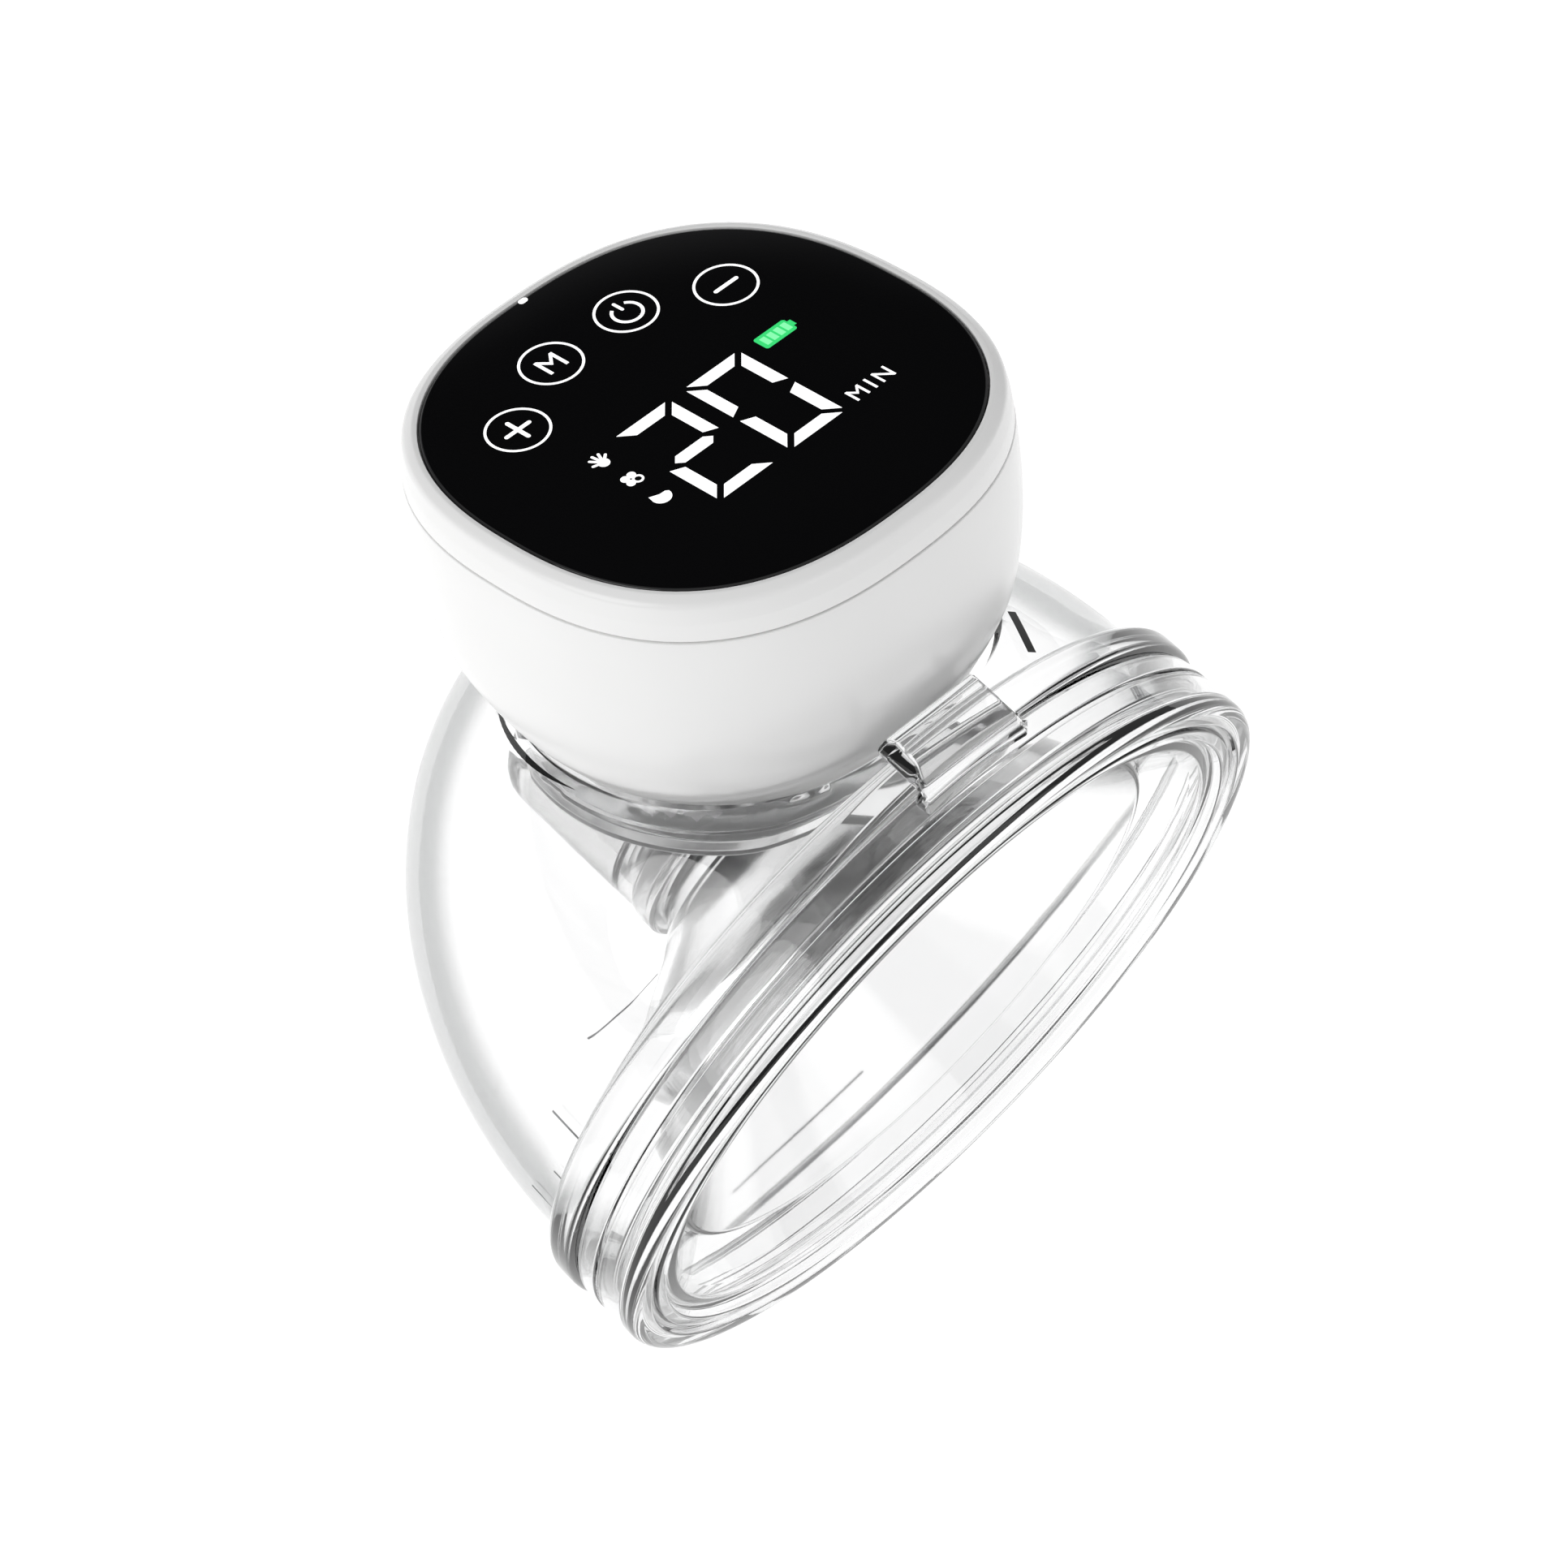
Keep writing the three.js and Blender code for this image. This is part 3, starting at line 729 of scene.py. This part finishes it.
drop = [
    prism(
        "bowl",
        arc((drop_x, drop_y + 0.2), 1.35, 180, 360, 20)
        + [(drop_x + 1.0, drop_y + 0.55), (drop_x + 0.1, drop_y + 0.6), (drop_x - 1.15, drop_y + 1.2)],
        INK_LOW,
        INK_HIGH,
    )
]
icons = joined("mode_icons", hand + petals + drop)
finish_piece(in_motor(icons), lit_white, "motor_unit")

notch = stroke("sensor_dot", (0.0, 32.55), (0.5, 32.55), 0.9)
finish_piece(in_motor(notch), lit_white, "motor_unit")


# ---- milk cup ----
def bulge(inset, start, steps):
    angles = [start + (math.pi / 2 - start) * k / steps for k in range(steps + 1)]
    line = [
        ((CUP_R - inset) * math.cos(a), CUP_START + (CUP_DEPTH - inset) * math.sin(a)) for a in angles
    ]
    line[-1] = (0, line[-1][1])
    return line


def ovalled(piece):
    piece.data.transform(Matrix.Diagonal((OVAL, 1, 1, 1)))
    return piece


cup_line = (
    rounded(
        [(51.2, 4.6, 0.5), (53.2, 4.6, 0.5), (53.2, 10.9, 0.2), (RIM_R, 10.9, 1.3), (RIM_R, 15.9, 1.7), (53.2, 16.3, 1.0), (53.0, 19)]
    )[:-1]
    + bulge(0, 0.05, 60)
    + list(reversed(bulge(CUP_WALL, 0, 60)))
)
cup = ovalled(turned("milk_cup_body", cup_line, axis="Y", facets=180))
mouth = squared(
    turned(
        "mouth_space",
        [(0, -51.4), (30.2, -51.4), (30.9, -50)]
        + [(30.9, -41.4)]
        + [(r + 1.3, z) for r, z in reversed(flowing(BOWL[:-1], 4))]
        + [(37.3, 4), (0, 4)],
        facets=160,
    )
)
carve(cup, in_motor(mouth))
rounding(cup, 0.45, 3, 50)
finish_piece(cup, clear_cup, "cup", ["milk_cup"])

rim_seal = ovalled(
    turned(
        "cup_rim_seal_ring",
        rounded([(51.4, 3, 0.5), (53.1, 3, 0.5), (53.1, 4.2, 0.5), (51.4, 4.2, 0.5)], 4),
        axis="Y",
        facets=144,
    )
)
finish_piece(rim_seal, clear_silicone, "cup", ["cup_rim_seal"])


# ---- linker: seat dish, neck, tunnel and valve stub ----
def on_tunnel(piece):
    piece.data.transform(Matrix.Translation((0, 0, TUNNEL_Z * MM)))
    return piece


dish = in_motor(
    turned(
        "linker_body_shell",
        rounded(
            [
                (24, -42, 0.3),
                (29.2, -42, 0.9),
                (29.5, -44.7, 0.1),
                (29.0, -45.1, 0.2),
                (29.5, -45.5, 0.1),
                (29.6, -49.2, 1.0),
                (28.2, -49.8, 0.5),
                (26.4, -49.8, 0.4),
                (25.4, -48.8, 0.6),
                (0, -48.8),
                (0, -46.6),
                (18, -46.6, 0.4),
                (18, -43.9, 0.3),
                (24, -43.9, 0.3),
            ],
            4,
        ),
    )
)
tunnel_out = on_tunnel(
    turned(
        "tunnel_out",
        rounded([(0, 38.8), (16.5, 38.8, 0.6), (16.5, 41.6, 1.2), (16, 43.2, 1.2), (16, 70, 4.5), (0, 70)]),
        axis="Y",
        facets=112,
    )
)
tunnel_in = on_tunnel(
    turned(
        "tunnel_in",
        rounded([(0, 38), (14.25, 38), (14.25, 46.4, 0.4), (12.6, 47.4, 0.8), (12.6, 67.6, 3.2), (0, 67.6)]),
        axis="Y",
        facets=112,
    )
)
groove = on_tunnel(
    turned("groove", [(13.9, 40.2), (15.5, 40.2), (15.5, 43), (13.9, 43)], axis="Y", facets=96)
)
neck = barrel("neck", 10.4, 6, 32, 0, NECK_Y, 72)
above_floor = in_motor(barrel("above_floor", 24, -47.5, -20, 0, 0, 72))
carve(neck, above_floor)
carve(dish, neck, tunnel_out, barrel("stub", 4.2, -21.5, -10, 0, VALVE_Y), how="UNION")
carve(
    dish,
    tunnel_in,
    groove,
    barrel("neck_bore", 8, -6, 33, 0, NECK_Y, 64),
    barrel("stub_bore", 3, -22.5, -8, 0, VALVE_Y),
)
finish_piece(dish, frosted_linker, "cup", ["linker_body"])

tunnel_seal = on_tunnel(
    turned(
        "tunnel_seal_lip",
        rounded([(14.2, 40.5, 0.3), (15.2, 40.5, 0.3), (15.2, 42.7, 0.3), (14.2, 42.7, 0.3)], 4),
        axis="Y",
        facets=96,
    )
)
finish_piece(tunnel_seal, clear_silicone, "cup", ["tunnel_seal_ring"])

# The diaphragm's rim is held in the dish; its middle is a separate piece, parted from the rim at the inner
# wall of its fold.
FOLD_R = 13.0
diaphragm_rim = turned(
    "diaphragm_rim",
    rounded(
        [
            (FOLD_R + 0.03, -45),
            (14.5, -45, 0.8),
            (16.5, -42.4, 0.8),
            (23.6, -42.4, 0.5),
            (23.6, -43.6, 0.5),
            (17.2, -43.6, 0.6),
            (15.2, -46.1, 0.8),
            (FOLD_R + 0.03, -46.1),
        ]
    ),
)
finish_piece(
    in_motor(diaphragm_rim), clear_silicone, "cup", ["silicone_diaphragm"]
)
diaphragm_middle = turned(
    "diaphragm_middle",
    rounded(
        [
            (0, -43.4),
            (9.5, -43.4, 0.8),
            (11.5, -45, 0.8),
            (FOLD_R - 0.03, -45),
            (FOLD_R - 0.03, -46.1),
            (10.8, -46.1, 0.8),
            (8.8, -44.5, 0.8),
            (0, -44.5),
        ]
    ),
)
only(in_motor(diaphragm_middle))
bpy.ops.object.shade_smooth_by_angle(angle=math.radians(32))
paint(diaphragm_middle, clear_silicone)
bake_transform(diaphragm_middle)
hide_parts("silicone_diaphragm")


# ---- duckbill valve ----
def lip_wedge(name, top, end, half_length, z_top, z_end):
    piece = outline(
        name,
        [(-top, -half_length, z_top), (-end, -half_length, z_end), (end, -half_length, z_end), (top, -half_length, z_top)],
        filled=True,
    )
    bpy.ops.object.mode_set(mode="EDIT")
    bpy.ops.mesh.select_all(action="SELECT")
    bpy.ops.mesh.extrude_region_move(TRANSFORM_OT_translate={"value": (0, 2 * half_length * MM, 0)})
    bpy.ops.mesh.select_all(action="SELECT")
    bpy.ops.mesh.normals_make_consistent(inside=False)
    bpy.ops.object.mode_set(mode="OBJECT")
    piece.data.transform(Matrix.Translation((0, VALVE_Y * MM, 0)))
    return piece


def taper(name, top_r, end_r, top, end):
    piece = turned(name, [(0, end), (end_r, end), (top_r, top), (0, top)], facets=72)
    piece.data.transform(Matrix.Translation((0, VALVE_Y * MM, 0)))
    return piece


valve = barrel("duckbill_valve_body", 5.7, -22, -17.9, 0, VALVE_Y, 72)
carve(valve, barrel("sleeve_bore", 4.5, -23, -17, 0, VALVE_Y, 64))
lips = lip_wedge("lips", 5.8, 0.9, 6, -22, -26.5)
carve(lips, taper("lips_round", 5.7, 4.2, -22, -26.6), how="INTERSECT")
carve(valve, lips, how="UNION")
space = lip_wedge("space", 4.5, 0.2, 5, -21.99, -26.6)
carve(space, taper("space_round", 4.5, 3.1, -21.99, -26.7), how="INTERSECT")
carve(valve, space)
finish_piece(valve, clear_silicone, "valve", ["duckbill_valve"])


# ---- breast shield and its soft insert ----
def shield_shape(piece):
    """Oval at the lip, round and a little lower at the tunnel."""
    for vertex in piece.data.vertices:
        x, y, z = vertex.co
        fade = min(max((36 - y / MM) / 30, 0), 1)
        vertex.co = (x * (1 + (OVAL - 1) * fade), y, z + TUNNEL_Z * MM * (1 - fade))
    return piece


shield_line = rounded(
    [
        (55.8, 7.4, 0.3),
        (55.2, 7.3),
        (55.2, 6.7),
        (55.8, 6.6, 0.3),
        (55.8, 0, 1.6),
        (52.5, 0, 0.35),
        (52.2, 0.9, 0.25),
        (51.5, 0.9, 0.25),
        (51.2, 0.25, 0.3),
        (49.7, 0.25, 0.5),
        (49.2, 1.3, 0.3),
        (48.3, 1.5, 0.3),
        (47.2, 1.2, 0.5),
        (46.0, 2.4, 0.8),
        (41.6, 7.2, 4),
        (15, 34.2, 4),
        (12.2, 38.6, 4),
        (12, 46, 0.3),
        (13.9, 46, 0.6),
        (13.9, 38.4, 5),
        (29.6, 22.7, 6),
        (43.0, 8.6, 6),
        (46.6, 4.6, 1.5),
        (48.6, 2.7, 1.5),
        (53.7, 2.7, 0.5),
        (53.7, 10.6, 0.4),
        (55.8, 10.6, 0.5),
    ],
    6,
)
shield = shield_shape(turned("breast_shield_bell", shield_line, axis="Y", facets=200))

TAB_HALF = 9.0
TAB_X = -1.5
tab = outline(
    "lift_tab",
    [
        (TAB_X - TAB_HALF, y, z)
        for y, z in rounded(
            [
                (7.4, 54.3),
                (9.2, 57.2, 2.0),
                (12.4, 59.2, 3.0),
                (16.2, 59.4, 1.2),
                (17.8, 58.4, 0.8),
                (17.8, 56.7, 0.5),
                (10.4, 56.7),
                (10.4, 54.3),
            ]
        )
    ],
    filled=True,
)
bpy.ops.object.mode_set(mode="EDIT")
bpy.ops.mesh.select_all(action="SELECT")
bpy.ops.mesh.extrude_region_move(TRANSFORM_OT_translate={"value": (2 * TAB_HALF * MM, 0, 0)})
bpy.ops.mesh.select_all(action="SELECT")
bpy.ops.mesh.normals_make_consistent(inside=False)
bpy.ops.object.mode_set(mode="OBJECT")
# the ends lean in and turn down to the rim
for vertex in tab.data.vertices:
    x, y, z = vertex.co
    rise = max(z / MM - 56.5, 0)
    vertex.co.x -= math.copysign(0.55 * rise, x / MM - TAB_X) * MM
rounding(tab, 0.7, 4, 50)
carve(shield, tab, how="UNION")
finish_piece(shield, clear_shield, "shield", ["breast_shield"])


def inside_funnel(distance):
    """The funnel's line moved in towards the wearer by a distance."""
    line = [(41.6, 7.2), (15, 34.2), (12.2, 38.6), (12, 45.6)]
    return [
        (r - distance, y) if y > 38 else (r - 0.72 * distance, y - 0.69 * distance) for r, y in line
    ]


outer_line, inner_line = inside_funnel(0.35), inside_funnel(1.55)
insert = shield_shape(
    turned(
        "flange_insert_cone",
        rounded(
            [
                (*outer_line[0], 0.5),
                (*outer_line[1], 4),
                (*outer_line[2], 4),
                (*outer_line[3], 0.3),
                (*inner_line[3], 0.5),
                (*inner_line[2], 4),
                (*inner_line[1], 4),
                (*inner_line[0], 0.5),
            ]
        ),
        axis="Y",
        facets=160,
    )
)
finish_piece(insert, clear_silicone, "shield", ["flange_insert"])


# ---- printed marks that lie on the cup's wall ----
def cup_wall(across, y, wall):
    """A point of the cup's outer wall: side walls take z across, upper and lower ones take x."""
    reach = CUP_R * math.sqrt(1 - ((y - CUP_START) / CUP_DEPTH) ** 2)
    if wall == "left":
        return (-OVAL * math.sqrt(reach**2 - across**2), y, across)
    height = math.sqrt(reach**2 - (across / OVAL) ** 2)
    return (across, y, height if wall == "top" else -height)


def printed(name, start, end, width, wall):
    """A thin printed bar between two (across, y) points of a wall."""
    bpy.ops.object.select_all(action="DESELECT")
    bpy.ops.mesh.primitive_grid_add(x_subdivisions=16, y_subdivisions=2, size=2)
    piece = bpy.context.object
    piece.name = piece.data.name = name
    a, b = Vector(start), Vector(end)
    side = (b - a).normalized().orthogonal() * width / 2
    for vertex in piece.data.vertices:
        spot = (a + b) / 2 + (b - a) / 2 * vertex.co.x + side * vertex.co.y
        vertex.co = Vector(cup_wall(spot.x, spot.y, wall)) * MM
    thicken = piece.modifiers.new("Solidify", "SOLIDIFY")
    thicken.thickness = 0.08 * MM
    thicken.offset = 0
    only(piece)
    bpy.ops.object.modifier_apply(modifier=thicken.name)
    return piece


limit_bar = printed("mouth_limit_bar", (24.4, 24.9), (20.6, 18.2), 1.15, "top")
finish_piece(limit_bar, printed_black, "cup")
ticks = [
    printed("tick_long", (10.4, 16.8), (10.4, 21.9), 0.35, "left"),
    printed("tick_short", (0.7, 16.8), (0.7, 18.6), 0.35, "left"),
    printed("tick_low", (-9.0, 16.8), (-9.0, 21.9), 0.35, "left"),
]
graduation = joined("volume_graduation", ticks)
finish_piece(graduation, printed_grey, "cup")
faint_ticks = [
    printed("tick_floor_near", (-15, 20), (14, 20), 0.3, "bottom"),
    printed("tick_floor_far", (-16, 45), (1, 45), 0.3, "bottom"),
]
floor_graduation = joined("floor_graduation", faint_ticks)
finish_piece(floor_graduation, printed_pale, "cup")


# ---- the parts inside the motor unit keep their CAD shapes and get their own finishes ----
mask_black = moulded("matte_black_mask_abs", "#1B1B1D", "#161618", 0.65, 0.6, 0.008)
soft_foam = moulded("dark_open_cell_foam", "#2C2C2E", "#242426", 0.95, 0.25, 0.08)
chassis_grey = moulded("grey_moulded_chassis", "#B7BABE", "#AEB1B5", 0.55, 0.7, 0.01)
pump_black = moulded("dark_glass_filled_nylon", "#26282B", "#1F2124", 0.5, 0.5, 0.012)
plug_black = moulded("black_connector_nylon", "#161617", "#111112", 0.55, 0.5, 0.008)
battery_blue = moulded("blue_pvc_shrink_wrap", "#2F6FB0", "#2A66A4", 0.32, 1.4, 0.012)
solder_mask = moulded("green_solder_mask", "#1F5C3A", "#1A5133", 0.4, 0.5, 0.004)
plain_steel = moulded("brushed_plain_steel", "#B8BBBE", "#A9ACB0", 0.3, 0.4, 0.002, Metallic=1.0)
hidden = {
    mask_black: ["light_mask"],
    soft_foam: ["battery_pad"],
    chassis_grey: ["chassis_frame", "valve_plunger"],
    pump_black: ["motor_sleeve", "pump_head"],
    plug_black: ["board_connector"],
    battery_blue: ["battery_cell"],
    solder_mask: ["display_board", "main_board"],
    plain_steel: [
        "pump_motor",
        "pump_crank",
        "release_valve",
        "usb_port",
        "case_screw_1",
        "case_screw_2",
        "case_screw_3",
        "case_screw_4",
    ],
    clear_silicone: ["nozzle_o_ring", "air_tube"],
}
for finish, names in hidden.items():
    for name in names:
        paint(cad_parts[name], finish)
touch_pad = moulded("conductive_key_foam", "#3A3B3D", "#323335", 0.85, 0.3, 0.03)
for key in ("plus", "mode", "power", "minus"):
    paint(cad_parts["key_pad_" + key], touch_pad)
paint(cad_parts["air_nozzle"], chassis_grey)


# ---- floor, lights and camera ----
bpy.ops.object.select_all(action="DESELECT")
bpy.ops.mesh.primitive_circle_add(vertices=96, radius=3.0, fill_type="NGON", location=(0, 0, -0.0572))
floor = bpy.context.object
floor.name = "studio_floor"
floor_white, tree = new_material("matte_white_light_table")
drift = grain(tree, 0.004, detail=1)
shader = node(
    tree,
    "ShaderNodeBsdfPrincipled",
    {
        "Base Color": blend_colours(tree, drift.outputs[0], "#707070", "#6C6C6C"),
        "Roughness": 0.9,
        "Specular IOR Level": 0.2,
        "Emission Color": colour("#FFFFFF"),
        "Emission Strength": 1.05,
    },
)
close_material(tree, shader)
floor.data.materials.append(floor_white)

world = bpy.data.worlds.new("studio")
bpy.context.scene.world = world
world.use_nodes = True
sky = world.node_tree
sky.nodes.clear()
heading = node(sky, "ShaderNodeTexCoord")
split = node(sky, "ShaderNodeSeparateXYZ", {"Vector": heading.outputs["Generated"]})
ramp = node(sky, "ShaderNodeValToRGB", {"Fac": split.outputs["Z"]})
stops = ramp.color_ramp.elements
stops[0].position, stops[0].color = 0.0, (0.34, 0.34, 0.35, 1)
stops[1].position, stops[1].color = 1.0, (0.62, 0.62, 0.62, 1)
middle = stops.new(0.32)
middle.color = (0.42, 0.42, 0.43, 1)
facing = node(
    sky,
    "ShaderNodeVectorMath",
    {0: heading.outputs["Generated"], 1: (0.477, 0.763, 0.438)},
    operation="DOT_PRODUCT",
)
flag = node(
    sky,
    "ShaderNodeMapRange",
    {"Value": facing.outputs["Value"], "From Min": 0.945, "From Max": 0.982, "To Min": 1.0, "To Max": 0.02},
    interpolation_type="SMOOTHSTEP",
)
shaded = node(
    sky,
    "ShaderNodeVectorMath",
    {0: ramp.outputs["Color"]},
    operation="SCALE",
)
sky.links.new(flag.outputs["Result"], shaded.inputs["Scale"])
light = node(sky, "ShaderNodeBackground", {"Color": shaded.outputs["Vector"]})
light.inputs["Strength"].default_value = 1.0
output = node(sky, "ShaderNodeOutputWorld", {"Surface": light.outputs[0]})


def softbox(name, spot, size, power, aim=(0, 0.04, 0.02)):
    bpy.ops.object.light_add(type="AREA", location=spot)
    lamp = bpy.context.object
    lamp.name = lamp.data.name = name
    lamp.data.shape = "DISK"
    lamp.data.size = size
    lamp.data.energy = power
    lamp.rotation_mode = "QUATERNION"
    lamp.rotation_quaternion = (Vector(aim) - Vector(spot)).to_track_quat("-Z", "Y")
    return lamp


softbox("key_softbox", (-0.9, 0.35, 0.55), 0.8, 3.4)
softbox("fill_softbox", (0.3, -0.85, 0.5), 0.8, 1.5)

bpy.ops.object.camera_add()
camera = bpy.context.object
camera.name = "studio_camera"
camera.data.lens = 127.66
camera.data.sensor_width = 36
camera.data.clip_start, camera.data.clip_end = 0.05, 20
right = Vector((0.69855, -0.69766, 0.15906))
up = Vector((0.53325, 0.65577, 0.53443))
back = right.cross(up).normalized()
up = back.cross(right).normalized()
turn = Matrix((right.normalized(), up, back)).transposed().to_4x4()
camera.matrix_world = Matrix.Translation((-0.34374, -0.17267, 0.61582)) @ turn
bpy.context.scene.camera = camera
bpy.context.scene.view_settings.view_transform = "Standard"
